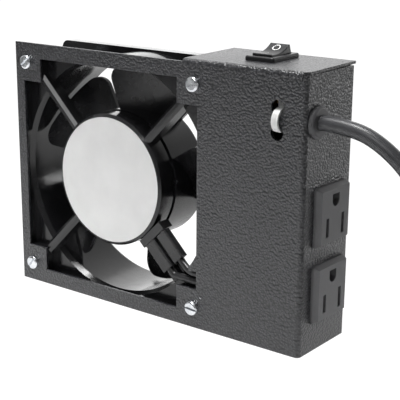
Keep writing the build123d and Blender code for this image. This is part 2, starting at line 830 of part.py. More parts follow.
# Switch body: bezel over the flap, open well below it, snap ramps at its ends
well_width = switch_width - 2 * switch_wall
well_length = switch_length - 2 * switch_wall
with BuildPart() as switch_body:
    with BuildSketch(switch_plane):
        RectangleRounded(bezel_width, bezel_length, 1.2)
    extrude(amount=bezel_height)
    top_rim = switch_body.faces().sort_by(Axis.Z)[-1].edges()
    fillet(top_rim, radius=0.8)
    with BuildSketch(switch_plane):
        Rectangle(switch_width, switch_length)
    extrude(amount=-switch_depth)
    for side in (-1, 1):
        ramp_plane = Plane(
            origin=switch_plane.from_local_coords((0, side * switch_length / 2, 0)),
            x_dir=switch_plane.y_dir * side,
            z_dir=switch_plane.x_dir * side,
        )
        with BuildSketch(ramp_plane.offset(-0.3 * switch_width)):
            ramp_start = -sheet - panel_fit
            with BuildLine():
                Polyline((0, ramp_start), (0.9, ramp_start), (0, ramp_start - 4.0), close=True)
            make_face()
        extrude(amount=0.6 * switch_width)
    with BuildSketch(switch_plane.offset(bezel_height)):
        Rectangle(well_width, well_length)
    extrude(amount=switch_wall - switch_depth - bezel_height, mode=Mode.SUBTRACT)
    pin_plane = Plane(
        origin=switch_plane.origin, x_dir=switch_plane.y_dir, z_dir=switch_plane.x_dir
    )
    with BuildSketch(pin_plane):
        Circle(pivot_pin / 2 + bearing_fit)
    extrude(
        amount=well_width / 2 - rocker_gap + pivot_pin_length + rocker_gap,
        both=True,
        mode=Mode.SUBTRACT,
    )
    with BuildSketch(switch_plane.offset(-switch_depth)):
        for place in (0, switch_tab_pitch):
            with Locations((0, place)):
                Rectangle(switch_tab_width, spade_thickness)
    extrude(amount=switch_wall, mode=Mode.SUBTRACT)
switch_body.part.label = "switch_body"
export_step(switch_body.part, "parts/switch_body.step")

# Rocker, drawn level and then tilted with its front end pressed
rocker_width = well_width - 2 * rocker_gap
with BuildPart() as level_rocker:
    with BuildSketch(pin_plane.offset(-rocker_width / 2)):
        with BuildLine():
            ThreePointArc(
                (-rocker_end + 0.5, rocker_top),
                (0, rocker_middle),
                (rocker_end - 0.5, rocker_top),
            )
            Polyline(
                (rocker_end - 0.5, rocker_top),
                (rocker_end, 0.6),
                (rocker_end - 0.2, -1.2),
                (0.7 * rocker_end, -rocker_bottom),
                (-0.7 * rocker_end, -rocker_bottom),
                (-rocker_end + 0.2, -1.2),
                (-rocker_end, 0.6),
                (-rocker_end + 0.5, rocker_top),
            )
        make_face()
    extrude(amount=rocker_width)
    upper = level_rocker.faces().filter_by(GeomType.CYLINDER).edges()
    fillet(upper, radius=0.5)
    with BuildSketch(pin_plane):
        Circle(pivot_pin / 2)
    extrude(amount=rocker_width / 2 + pivot_pin_length, both=True)
    with BuildSketch(switch_plane.offset(-rocker_bottom + 0.5)):
        Circle(plunger_diameter / 2)
    extrude(amount=rocker_bottom - 0.5 - plunger_reach)
    fillet(level_rocker.edges().group_by(Axis.Z)[0], radius=0.8)
rocker_axis = Axis(switch_plane.origin, (1, 0, 0))
with BuildPart() as switch_rocker:
    add(level_rocker.part.rotate(rocker_axis, rocker_tilt))
switch_rocker.part.label = "switch_rocker"
export_step(switch_rocker.part, "parts/switch_rocker.step")

# Contact bar rocks on the middle terminal, against the rocker
bar_top = -plunger_reach - 0.4
bar_bottom = bar_top - contact_bar_thickness
bar_origin = switch_plane.from_local_coords((0, 0, bar_bottom))
with BuildPart() as level_bar:
    with BuildSketch(switch_plane.offset(bar_top)):
        Rectangle(contact_bar_width, contact_bar_length)
    extrude(amount=-contact_bar_thickness)
    with BuildSketch(Plane(origin=bar_origin, x_dir=switch_plane.y_dir, z_dir=switch_plane.x_dir)):
        Circle(bar_knuckle)
    extrude(amount=contact_bar_width / 2, both=True)
with BuildPart() as contact_bar:
    add(level_bar.part.rotate(Axis(bar_origin, (1, 0, 0)), -contact_bar_tilt))
contact_bar.part.label = "contact_bar"
export_step(contact_bar.part, "parts/contact_bar.step")

# Switch terminals: a middle post, and a rear one with a contact pad
bar_drop = switch_tab_pitch * math.tan(math.radians(contact_bar_tilt))
pad_top = bar_bottom - bar_drop - contact_gap
tab_end = -switch_depth - switch_tab_length
post_top = bar_bottom - bar_knuckle - bearing_fit
with BuildPart() as switch_terminals:
    with BuildSketch(switch_plane.offset(post_top)):
        Rectangle(switch_tab_width, spade_thickness)
    extrude(amount=tab_end - post_top)
    with BuildSketch(switch_plane.offset(pad_top)):
        with Locations((0, switch_tab_pitch)):
            Rectangle(switch_tab_width, spade_thickness)
    extrude(amount=tab_end - pad_top)
    with BuildSketch(switch_plane.offset(pad_top)):
        with Locations((0, switch_tab_pitch)):
            Rectangle(switch_tab_width, 2.6)
    extrude(amount=-spade_thickness)
switch_terminals.part.label = "switch_terminals"
export_step(switch_terminals.part, "parts/switch_terminals.step")


# Outlet: bevelled face, body through the wall, two blade slots and a ground hole
def outlet_plane(level):
    return Plane(
        origin=at(wall_x, outlet_y, level), x_dir=(0, 1, 0), z_dir=(1, 0, 0)
    )


pocket_inner = slot_offset - slot_width / 2
pocket_outer = slot_offset + slot_width / 2 + contact_thickness + 0.1
pocket_middle = (pocket_inner + pocket_outer) / 2
contact_place = pocket_outer - 0.05 - contact_thickness / 2
ground_top = ground_level + ground_hole / 2
ground_contact = ground_top + contact_thickness / 2 + 0.05
ground_width = ground_hole - 0.7


# The same moulding is used twice
upper_plane = outlet_plane(outlet_levels[0])
lower_plane = outlet_plane(outlet_levels[1])
for name, plane in (("outlet_upper", upper_plane), ("outlet_lower", lower_plane)):
    with BuildPart() as outlet:
        with BuildSketch(plane):
            RectangleRounded(outlet_base_width, outlet_base_height, 1.5)
        extrude(amount=outlet_rim)
        with BuildSketch(plane.offset(outlet_rim)):
            RectangleRounded(outlet_base_width, outlet_base_height, 1.5)
        extrude(amount=outlet_proud - outlet_rim, taper=outlet_bevel)
        with BuildSketch(plane):
            Rectangle(outlet_body_width, outlet_body_height)
        extrude(amount=-outlet_depth)
        for side in (-1, 1):
            snap_plane = Plane(
                origin=plane.from_local_coords((0, side * outlet_body_height / 2, 0)),
                x_dir=plane.y_dir * side,
                z_dir=plane.x_dir * side,
            )
            with BuildSketch(snap_plane.offset(-0.25 * outlet_body_width)):
                snap_start = -sheet - panel_fit
                with BuildLine():
                    Polyline((0, snap_start), (1.0, snap_start), (0, snap_start - 5.0), close=True)
                make_face()
            extrude(amount=0.5 * outlet_body_width)
        # Slots in the face
        with BuildSketch(plane.offset(outlet_proud)):
            with Locations((-slot_offset, slot_level)):
                Rectangle(slot_width, line_slot)
            with Locations((slot_offset, slot_level)):
                Rectangle(slot_width, neutral_slot)
            with Locations((0, ground_level)):
                Circle(ground_hole / 2)
                Rectangle(
                    ground_hole, ground_hole / 2, align=(Align.CENTER, Align.MIN)
                )
        extrude(amount=-outlet_proud - slot_depth, mode=Mode.SUBTRACT)
        # Pockets behind the slots, and the way out for the contact tails
        with BuildSketch(plane):
            for side in (-1, 1):
                with Locations((side * pocket_middle, slot_level)):
                    Rectangle(pocket_outer - pocket_inner, neutral_slot)
            with Locations((0, ground_level)):
                Rectangle(
                    ground_hole,
                    ground_hole / 2 + contact_thickness + 0.1,
                    align=(Align.CENTER, Align.MIN),
                )
        extrude(amount=-slot_depth, mode=Mode.SUBTRACT)
        with BuildSketch(plane.offset(-slot_depth)):
            for side in (-1, 1):
                with Locations((side * contact_place, slot_level)):
                    Rectangle(contact_thickness + 0.1, contact_width + 0.1)
            with Locations((0, ground_contact)):
                Rectangle(ground_width + 0.1, contact_thickness + 0.1)
        extrude(amount=slot_depth - outlet_depth, mode=Mode.SUBTRACT)
    outlet.part.label = name
    export_step(outlet.part, f"parts/{name}.step")

# Brass contacts: straight strips that grip a blade and end in a tail
for name, plane in (("contacts_upper", upper_plane), ("contacts_lower", lower_plane)):
    with BuildPart() as contacts:
        with BuildSketch(plane.offset(-sheet)):
            for side in (-1, 1):
                with Locations((side * contact_place, slot_level)):
                    Rectangle(contact_thickness, contact_width)
            with Locations((0, ground_contact)):
                Rectangle(ground_width, contact_thickness)
        extrude(amount=sheet - outlet_depth - contact_tail)
    contacts.part.label = name
    export_step(contacts.part, f"parts/{name}.step")

# Bus bars lie on the backs of the outlets and join their contact tails
bus_plane = wall_plane.offset(-outlet_depth)
blade_levels = [level + slot_level for level in outlet_levels]
ground_levels = [level + ground_contact for level in outlet_levels]
blade_bus_top = upper_joint + bus_overhang / 2
blade_bus_bottom = min(blade_levels) - contact_width / 2 - bus_overhang
ground_bus_top = max(ground_levels) + bus_overhang
ground_bus_bottom = min(ground_levels) - bus_overhang

with BuildPart() as line_bus:
    with BuildSketch(bus_plane):
        with Locations((outlet_y - contact_place, blade_bus_bottom)):
            Rectangle(
                bus_width, blade_bus_top - blade_bus_bottom, align=(Align.CENTER, Align.MIN)
            )
        for level in blade_levels:
            with Locations((outlet_y - contact_place, level)):
                Rectangle(contact_thickness + 0.1, contact_width + 0.1, mode=Mode.SUBTRACT)
    extrude(amount=-bus_thickness)
line_bus.part.label = "line_bus"
export_step(line_bus.part, "parts/line_bus.step")

with BuildPart() as neutral_bus:
    with BuildSketch(bus_plane):
        with Locations((outlet_y + contact_place, blade_bus_bottom)):
            Rectangle(
                bus_width, blade_bus_top - blade_bus_bottom, align=(Align.CENTER, Align.MIN)
            )
        for level in blade_levels:
            with Locations((outlet_y + contact_place, level)):
                Rectangle(contact_thickness + 0.1, contact_width + 0.1, mode=Mode.SUBTRACT)
    extrude(amount=-bus_thickness)
neutral_bus.part.label = "neutral_bus"
export_step(neutral_bus.part, "parts/neutral_bus.step")

with BuildPart() as ground_bus:
    with BuildSketch(bus_plane):
        with Locations((outlet_y, ground_bus_bottom)):
            Rectangle(
                ground_width + 2 * contact_thickness,
                ground_bus_top - ground_bus_bottom,
                align=(Align.CENTER, Align.MIN),
            )
        for level in ground_levels:
            with Locations((outlet_y, level)):
                Rectangle(ground_width + 0.1, contact_thickness + 0.1, mode=Mode.SUBTRACT)
    extrude(amount=-bus_thickness)
ground_bus.part.label = "ground_bus"
export_step(ground_bus.part, "parts/ground_bus.step")

# Rubber grommet, turned about the cord
cord_exit = at(wall_x, cord_y, cord_z)
cord_axis = Axis(cord_exit, (1, 0, 0))
with BuildPart() as cord_grommet:
    with BuildSketch(Plane(origin=cord_exit, x_dir=(1, 0, 0), z_dir=(0, -1, 0))):
        bore = cord_diameter / 2 + grommet_fit
        neck = grommet_hole / 2 - grommet_fit / 2
        with BuildLine():
            Polyline(
                (grommet_bead, bore),
                (grommet_bead, grommet_outer / 2),
                (0, grommet_outer / 2),
                (0, neck),
                (-sheet, neck),
                (-sheet, grommet_inner / 2),
                (-sheet - grommet_bead, grommet_inner / 2),
                (-sheet - grommet_bead, bore),
                close=True,
            )
        profile = make_face()
        rounded = profile.vertices().filter_by(
            lambda v: abs(abs(v.X + sheet / 2) - grommet_bead - sheet / 2) < 0.01
            and v.Y > neck
        )
        fillet(rounded, radius=grommet_round)
    revolve(axis=cord_axis)
cord_grommet.part.label = "cord_grommet"
export_step(cord_grommet.part, "parts/cord_grommet.step")

# End of the cord inside the box
with BuildPart() as cord_inner:
    with BuildSketch(Plane(origin=cord_exit, x_dir=(0, 1, 0), z_dir=(1, 0, 0))):
        Circle(cord_diameter / 2)
    extrude(amount=-cord_inner_length)
cord_inner.part.label = "cord_inner"
export_step(cord_inner.part, "parts/cord_inner.step")

# Cable tie through the two holes and round the cord
tie_reach = tie_bulge + cord_y + cord_diameter / 2 + grommet_fit + tie_thickness
with BuildPart() as cable_tie:
    with BuildSketch(Plane.YZ.offset(fan_x + tie_x - tie_width / 2)):
        with Locations((y_front - tie_bulge + tie_reach / 2, fan_z + cord_z)):
            SlotOverall(tie_reach, tie_height)
            SlotOverall(
                tie_reach - 2 * tie_thickness,
                tie_height - 2 * tie_thickness,
                mode=Mode.SUBTRACT,
            )
    extrude(amount=tie_width)
    with Locations((fan_x + tie_x, y_front + cord_y - tie_head / 2, fan_z + cord_z + tie_height / 2)):
        Box(
            tie_width + 1.6,
            tie_head,
            tie_head,
            align=(Align.CENTER, Align.CENTER, Align.MIN),
        )
cable_tie.part.label = "cable_tie"
export_step(cable_tie.part, "parts/cable_tie.step")

# Ground stud with two ring terminals and a nut
stud_plane = Plane(origin=at(stud_x, sheet, stud_z), x_dir=(1, 0, 0), z_dir=(0, -1, 0))
with BuildPart() as ground_stud:
    with BuildSketch(stud_plane):
        Circle(stud_diameter / 2)
    extrude(amount=-stud_length)
ground_stud.part.label = "ground_stud"
export_step(ground_stud.part, "parts/ground_stud.step")

ring_eye = ring_outer / 2 + 1.2
with BuildPart() as ring_terminals:
    for layer, direction in ((0, 1), (1, -1)):
        ring_plane = stud_plane.offset(-layer * (ring_thickness + thread_fit) - thread_fit)
        with BuildSketch(ring_plane):
            Circle(ring_outer / 2)
            with Locations((0, direction * ring_eye / 2)):
                Rectangle(ring_barrel, ring_eye)
            Circle(stud_diameter / 2 + 0.1, mode=Mode.SUBTRACT)
        extrude(amount=-ring_thickness)
        barrel_plane = Plane(
            origin=at(stud_x, sheet + ring_barrel / 2 + 0.1, stud_z + direction * ring_eye),
            x_dir=(1, 0, 0),
            z_dir=(0, 0, direction),
        )
        with BuildSketch(barrel_plane):
            Circle(ring_barrel / 2)
        extrude(amount=ring_barrel_length)
ring_terminals.part.label = "ring_terminals"
export_step(ring_terminals.part, "parts/ring_terminals.step")

with BuildPart() as ground_nut:
    with BuildSketch(stud_plane.offset(-2 * (ring_thickness + thread_fit) - thread_fit)):
        RegularPolygon(nut_flats / 2, 6, major_radius=False)
        Circle(stud_diameter / 2 + thread_fit, mode=Mode.SUBTRACT)
    extrude(amount=-nut_height)
ground_nut.part.label = "ground_nut"
export_step(ground_nut.part, "parts/ground_nut.step")

# Barrier that closes the box beside the fan, notched for the leads
barrier_front = y_front + sheet + barrier_gap
barrier_back = y_rear - sheet - barrier_gap
with BuildPart() as barrier:
    with Locations((box_left, barrier_front, sheet + barrier_gap)):
        Box(
            barrier_thickness,
            barrier_back - barrier_front,
            plate_height - sheet - 2 * barrier_gap,
            align=(Align.MIN, Align.MIN, Align.MIN),
        )
    chamfer(barrier.edges().filter_by(Axis.X), length=bend_inside)
    with Locations((box_left, barrier_front, fan_z + notch_bottom)):
        Box(
            barrier_thickness,
            lead_notch_depth,
            notch_top - notch_bottom,
            align=(Align.MIN, Align.MIN, Align.MIN),
            mode=Mode.SUBTRACT,
        )
barrier.part.label = "barrier"
export_step(barrier.part, "parts/barrier.step")

# Wires inside the box
cord_end = wall_x - cord_inner_length
tab_low = switch_plane.from_local_coords((0, 0, tab_end))
tab_rear_low = switch_plane.from_local_coords((0, switch_tab_pitch, tab_end))
middle_tab_below = tuple(switch_plane.from_local_coords((0, 0, tab_end - 8.0)))
rear_tab_below = tuple(switch_plane.from_local_coords((0, switch_tab_pitch, tab_end - 10.0)))
tab_y = tab_low.Y - y_front
tab_z = tab_low.Z - fan_z

line_paths = (
    [
        at(cord_end, cord_y, cord_z + 1.8),
        at(cord_end - 7.0, cord_y, cord_z + 1.8),
        at(switch_x - 2.0, tab_y - 9.0, tab_z - 9.0),
        middle_tab_below,
        tuple(tab_low),
    ],
    [
        tuple(tab_rear_low),
        rear_tab_below,
        at(switch_x - 1.0, line_y + 3.0, upper_joint + 9.0),
        at(bus_face - 9.0, line_y, upper_joint),
        at(bus_face, line_y, upper_joint),
    ],
)
neutral_path = [
    at(cord_end, cord_y + 1.6, cord_z - 1.0),
    at(cord_end - 5.0, cord_y + 1.6, cord_z - 1.0),
    at(bus_face - 8.0, neutral_y, upper_joint + 10.0),
    at(bus_face - 7.0, neutral_y, upper_joint),
    at(bus_face, neutral_y, upper_joint),
]
barrel_y = sheet + ring_barrel / 2 + 0.1
barrel_top = stud_z + ring_eye + ring_barrel_length
barrel_low = stud_z - ring_eye - ring_barrel_length
ground_joint = upper_joint - 9.0
ground_paths = (
    [
        at(stud_x, barrel_y, barrel_top),
        at(stud_x, barrel_y, barrel_top + 7.0),
        at(stud_x + 5.0, cord_y - 1.6, cord_z - 1.0),
        at(cord_end, cord_y - 1.6, cord_z - 1.0),
    ],
    [
        at(stud_x, barrel_y, barrel_low),
        at(stud_x, barrel_y, barrel_low - 6.0),
        at(stud_x, outlet_y, ground_joint),
        at(bus_face, outlet_y, ground_joint),
    ],
)

with BuildPart() as line_wires:
    for points in line_paths:
        with BuildLine() as wire_route:
            FilletPolyline(*points, radius=eased(points))
        with BuildSketch(Plane(origin=wire_route.line @ 0, z_dir=wire_route.line % 0)):
            Circle(wire_diameter / 2)
        sweep(path=wire_route.line)
line_wires.part.label = "line_wires"
export_step(line_wires.part, "parts/line_wires.step")

with BuildPart() as neutral_wire:
    with BuildLine() as wire_route:
        FilletPolyline(*neutral_path, radius=eased(neutral_path))
    with BuildSketch(Plane(origin=wire_route.line @ 0, z_dir=wire_route.line % 0)):
        Circle(wire_diameter / 2)
    sweep(path=wire_route.line)
neutral_wire.part.label = "neutral_wire"
export_step(neutral_wire.part, "parts/neutral_wire.step")

with BuildPart() as ground_wires:
    for points in ground_paths:
        with BuildLine() as wire_route:
            FilletPolyline(*points, radius=eased(points))
        with BuildSketch(Plane(origin=wire_route.line @ 0, z_dir=wire_route.line % 0)):
            Circle(wire_diameter / 2)
        sweep(path=wire_route.line)
ground_wires.part.label = "ground_wires"
export_step(ground_wires.part, "parts/ground_wires.step")

# Free cord: out of the grommet, down to the floor and into the hank
floor = -fan_z
cord_rest = floor + 4.2


# Height of the cord after a share of its way down
def fallen(share):
    return cord_z + (cord_rest - cord_z) * share


cord_points = [
    cord_exit,
    at(wall_x + 16.5, cord_y, cord_z),
    at(wall_x + 30.7, 9.2, fallen(0.0553)),
    at(wall_x + 44.0, 10.5, fallen(0.1698)),
    at(wall_x + 52.2, 12.7, fallen(0.3357)),
    at(wall_x + 59.6, 15.5, fallen(0.5296)),
    at(wall_x + 67.6, 18.5, fallen(0.7206)),
    at(wall_x + 78.2, 21.7, fallen(0.8754)),
    at(wall_x + 92.7, 21.9, fallen(0.9698)),
    at(wall_x + 108.7, 18.9, fallen(0.999)),
    at(wall_x + 120.2, 14.9, fallen(1.0)),
]
with BuildPart() as power_cord:
    with BuildLine() as cord_route:
        FilletPolyline(*cord_points, radius=eased(cord_points))
    with BuildSketch(Plane(origin=cord_route.line @ 0, z_dir=cord_route.line % 0)):
        Circle(cord_diameter / 2)
    sweep(path=cord_route.line)
power_cord.part.label = "power_cord"
export_step(power_cord.part, "parts/power_cord.step")

# Hank of folded cord: its turns lie side by side in two layers round two folds
hank_width = hank_turns * cord_diameter
hank_thick = hank_layers * cord_diameter
hank_middle = hank_inner + hank_width / 2 - cord_diameter / 2
hank_level = floor + wrap_thickness
left_fold = at(hank_x, hank_y, hank_level)
with BuildPart() as power_cord_coil:
    with BuildSketch(Plane(origin=at(hank_x + hank_run / 2, hank_y, hank_level))):
        SlotCenterToCenter(hank_run, 2 * hank_middle + hank_width)
        SlotCenterToCenter(hank_run, 2 * hank_middle - hank_width, mode=Mode.SUBTRACT)
    extrude(amount=hank_thick)
    fillet(power_cord_coil.faces().filter_by(Axis.Z).edges(), radius=cord_diameter / 2)
power_cord_coil.part.label = "power_cord_coil"
export_step(power_cord_coil.part, "parts/power_cord_coil.step")

wrap_angle = wrap_width / hank_middle
wrap_start = math.pi - wrap_angle / 2
with BuildPart() as coil_wrap:
    wrap_plane = Plane(
        origin=left_fold,
        x_dir=(math.cos(wrap_start), math.sin(wrap_start), 0),
        z_dir=(math.sin(wrap_start), -math.cos(wrap_start), 0),
    )
    with BuildSketch(wrap_plane):
        with Locations((hank_middle, hank_thick / 2)):
            RectangleRounded(
                hank_width + 2 * wrap_thickness,
                hank_thick + 2 * wrap_thickness,
                cord_diameter / 2 + wrap_thickness,
            )
            RectangleRounded(hank_width, hank_thick, cord_diameter / 2, mode=Mode.SUBTRACT)
    revolve(axis=Axis(left_fold, (0, 0, 1)), revolution_arc=math.degrees(wrap_angle))
coil_wrap.part.label = "coil_wrap"
export_step(coil_wrap.part, "parts/coil_wrap.step")

# End of the cord: once more round the left fold, on top, with the plug lying on the front run
hank_top = hank_level + hank_thick
plug_middle = hank_top + plug_height / 2
tail_back = hank_y + tail_turn
tail_front = hank_y - tail_turn
tail_left = hank_x - tail_turn
tail_cut = 0.58 * tail_turn
plug_back = at(hank_x + 4.5, tail_front, plug_middle)
tail_points = [
    at(hank_x + 29.5, tail_back, hank_top - 1.9),
    at(hank_x + 11.5, tail_back, hank_top + 3.5),
    at(tail_left + tail_cut, tail_back, hank_top + 3.8),
    at(tail_left, tail_back - tail_cut, hank_top + 5.6),
    at(tail_left, tail_front + tail_cut, hank_top + 9.6),
    at(tail_left + tail_cut, tail_front, plug_middle),
    plug_back,
]
with BuildPart() as power_cord_tail:
    with BuildLine() as tail_route:
        FilletPolyline(*tail_points, radius=eased(tail_points))
    with BuildSketch(Plane(origin=tail_route.line @ 0, z_dir=tail_route.line % 0)):
        Circle(cord_diameter / 2)
    sweep(path=tail_route.line)
power_cord_tail.part.label = "power_cord_tail"
export_step(power_cord_tail.part, "parts/power_cord_tail.step")

# Moulded plug, its axis along the end of the cord
plug_plane = Plane(origin=plug_back, x_dir=(0, -1, 0), z_dir=(1, 0, 0))
with BuildPart() as plug_body:
    with BuildSketch(plug_plane):
        Circle(cord_diameter / 2 + 1.4)
    with BuildSketch(plug_plane.offset(plug_relief_length)):
        Circle(cord_diameter / 2 + 3.0)
    loft()
    with BuildSketch(plug_plane.offset(plug_relief_length)):
        RectangleRounded(0.62 * plug_width, 0.62 * plug_height, 4.0)
    with BuildSketch(plug_plane.offset(plug_relief_length + 0.6 * plug_length)):
        RectangleRounded(plug_width, plug_height, 5.0)
    loft()
    with BuildSketch(plug_plane.offset(plug_relief_length + 0.6 * plug_length)):
        RectangleRounded(plug_width, plug_height, 5.0)
    extrude(amount=0.4 * plug_length)
plug_body.part.label = "plug_body"
export_step(plug_body.part, "parts/plug_body.step")

with BuildPart() as plug_blades:
    plug_face = plug_plane.offset(plug_relief_length + plug_length)
    with BuildSketch(plug_face):
        for side in (-1, 1):
            with Locations((side * slot_offset, -slot_level)):
                Rectangle(1.5, 6.35)
    extrude(amount=plug_blade_length)
    with BuildSketch(plug_face):
        with Locations((0, -ground_level)):
            Circle(2.4)
    extrude(amount=plug_pin_length)
    chamfer(plug_blades.edges().group_by(Axis.X)[-1], length=1.0)
plug_blades.part.label = "plug_blades"
export_step(plug_blades.part, "parts/plug_blades.step")
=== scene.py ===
import json
import math

import bpy
from mathutils import Matrix, Quaternion, Vector


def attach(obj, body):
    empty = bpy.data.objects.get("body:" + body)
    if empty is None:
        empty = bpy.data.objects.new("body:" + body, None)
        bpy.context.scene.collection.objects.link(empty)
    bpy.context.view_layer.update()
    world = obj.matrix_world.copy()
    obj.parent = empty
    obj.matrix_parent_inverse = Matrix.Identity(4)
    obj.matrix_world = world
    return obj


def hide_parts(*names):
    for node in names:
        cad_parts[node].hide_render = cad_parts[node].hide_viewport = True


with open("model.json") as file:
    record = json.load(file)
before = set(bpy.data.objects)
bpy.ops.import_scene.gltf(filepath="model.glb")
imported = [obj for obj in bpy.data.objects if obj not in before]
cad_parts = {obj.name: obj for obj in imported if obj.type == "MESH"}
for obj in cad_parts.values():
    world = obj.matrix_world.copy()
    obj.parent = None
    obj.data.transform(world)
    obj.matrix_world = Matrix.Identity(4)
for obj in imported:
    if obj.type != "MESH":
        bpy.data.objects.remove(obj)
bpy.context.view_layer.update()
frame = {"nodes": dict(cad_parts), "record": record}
nodes = frame["nodes"]
scene = bpy.context.scene


# The fan's centre on the plate's front face, and points measured from it in millimetres
fan_centre = Vector((-0.0272, -0.0184, 0.062))


def from_fan(right, back, up):
    return fan_centre + Vector((right, back, up)) / 1000


def linked(name, data):
    piece = bpy.data.objects.new(name, data)
    scene.collection.objects.link(piece)
    return piece


# Camera, fitted to the photograph
camera_target = from_fan(41.27, 20.0, -6.67)
camera_distance = 0.50764
camera_data = bpy.data.cameras.new("photo_camera")
camera_data.sensor_width = 36.0
camera_data.lens = 96.295
camera_data.clip_start = 0.01
camera_data.clip_end = 20.0
camera = linked("photo_camera", camera_data)
azimuth = math.radians(37.43)
elevation = math.radians(15.63)
roll = math.radians(0.45)
level_part = math.cos(elevation)
away = Vector((math.sin(azimuth) * level_part, -math.cos(azimuth) * level_part, math.sin(elevation)))
camera.location = camera_target + away * camera_distance
camera.rotation_mode = "QUATERNION"
camera.rotation_quaternion = (-away).to_track_quat("-Z", "Y") @ Quaternion((0.0, 0.0, 1.0), roll)
scene.camera = camera


# Material helpers: an owner is a material or the world
def node(owner, kind, **settings):
    made = owner.node_tree.nodes.new(kind)
    for name, value in settings.items():
        setattr(made, name, value)
    return made


def join(owner, source, output, target, entry):
    owner.node_tree.links.new(source.outputs[output], target.inputs[entry])


def shader_of(material):
    return material.node_tree.nodes["Principled BSDF"]


def plain(name, colour, roughness, metallic=0.0, specular=0.5):
    material = bpy.data.materials.new(name)
    material.use_nodes = True
    shader = shader_of(material)
    shader.inputs["Base Color"].default_value = (*colour, 1.0)
    shader.inputs["Roughness"].default_value = roughness
    shader.inputs["Metallic"].default_value = metallic
    shader.inputs["Specular IOR Level"].default_value = specular
    return material


# A texture laid over the object's own coordinates
def textured(material, kind, scale, **settings):
    texture = node(material, kind, **settings)
    texture.inputs["Scale"].default_value = scale
    join(material, node(material, "ShaderNodeTexCoord"), "Object", texture, "Vector")
    return texture


def noise(material, scale, detail=2.0):
    texture = textured(material, "ShaderNodeTexNoise", scale)
    texture.inputs["Detail"].default_value = detail
    return texture


# Colour from first to second as the texture goes from low to high
def mottle(material, texture, first, second, low=0.35, high=0.65, output="Fac"):
    ramp = node(material, "ShaderNodeValToRGB")
    ramp.color_ramp.elements[0].position = low
    ramp.color_ramp.elements[0].color = (*first, 1.0)
    ramp.color_ramp.elements[1].position = high
    ramp.color_ramp.elements[1].color = (*second, 1.0)
    join(material, texture, output, ramp, "Fac")
    join(material, ramp, "Color", shader_of(material), "Base Color")


def rough_between(material, texture, low, high):
    spread = node(material, "ShaderNodeMapRange")
    spread.inputs["From Min"].default_value = 0.3
    spread.inputs["From Max"].default_value = 0.7
    spread.inputs["To Min"].default_value = low
    spread.inputs["To Max"].default_value = high
    join(material, texture, "Fac", spread, "Value")
    join(material, spread, "Result", shader_of(material), "Roughness")


# Relief from a texture, its depth in metres
def bumped(material, texture, depth, output="Fac"):
    bump = node(material, "ShaderNodeBump")
    bump.inputs["Distance"].default_value = depth
    bump.inputs["Strength"].default_value = 1.0
    join(material, texture, output, bump, "Height")
    join(material, bump, "Normal", shader_of(material), "Normal")


def moulded(name, dark, light, roughness, grain=2600.0, depth=0.00002):
    material = plain(name, light, roughness)
    cloud = noise(material, 90.0, 3.0)
    mottle(material, cloud, dark, light)
    rough_between(material, cloud, roughness - 0.05, roughness + 0.05)
    bumped(material, noise(material, grain), depth)
    return material


def metal(name, dark, light, roughness):
    material = plain(name, light, roughness, 1.0)
    cloud = noise(material, 260.0, 4.0)
    mottle(material, cloud, dark, light)
    rough_between(material, cloud, roughness - 0.07, roughness + 0.09)
    bumped(material, noise(material, 1560.0), 0.000008)
    return material


# Metal with fine bands, such as laminations or windings
def banded(name, colour, dark, light, roughness, direction, scale, distortion, depth):
    material = plain(name, colour, roughness, 1.0)
    bands = textured(material, "ShaderNodeTexWave", scale, wave_type="BANDS", bands_direction=direction)
    bands.inputs["Distortion"].default_value = distortion
    mottle(material, bands, dark, light)
    bumped(material, bands, depth)
    return material


# Wrinkled black powder coat: rounded cells about a millimetre wide, with painted shade that darkens the
# creases, over a bump for the relief
coat = plain("wrinkle_coat", (0.014, 0.014, 0.016), 0.38, 0.0, 0.9)
wrinkle_and_crease_shade = textured(coat, "ShaderNodeTexVoronoi", 950.0, feature="SMOOTH_F1")
wrinkle_and_crease_shade.inputs["Smoothness"].default_value = 0.6
# Painted shade: the colour goes from lighter cell middles to near black in the creases between the cells
mottle(coat, wrinkle_and_crease_shade, (0.028, 0.029, 0.034), (0.003, 0.003, 0.005), 0.2, 0.7, "Distance")
rough_between(coat, noise(coat, 14.0, 3.0), 0.33, 0.41)
bumped(coat, wrinkle_and_crease_shade, -0.0004, "Distance")

# Gloss black paint on the die casting
gloss = plain("gloss_black_casting", (0.011, 0.011, 0.012), 0.16)
peel = noise(gloss, 240.0)
mottle(gloss, noise(gloss, 45.0, 3.0), (0.009, 0.009, 0.010), (0.015, 0.015, 0.016))
rough_between(gloss, peel, 0.12, 0.21)
bumped(gloss, peel, 0.00003)

# Bare metallised paper of the fan label
paper = plain("bare_label_foil", (0.70, 0.70, 0.695), 0.45)
fleck = noise(paper, 1900.0, 3.0)
mottle(paper, noise(paper, 60.0, 3.0), (0.68, 0.68, 0.675), (0.73, 0.73, 0.725))
rough_between(paper, fleck, 0.36, 0.48)
bumped(paper, fleck, 0.000006)

# Natural nylon of the cable tie
tie_nylon = plain("natural_tie_nylon", (0.80, 0.80, 0.79), 0.34)
shader_of(tie_nylon).inputs["Subsurface Weight"].default_value = 0.15
shader_of(tie_nylon).inputs["Subsurface Radius"].default_value = (0.002, 0.002, 0.002)
mottle(tie_nylon, noise(tie_nylon, 200.0), (0.77, 0.77, 0.76), (0.84, 0.84, 0.83))

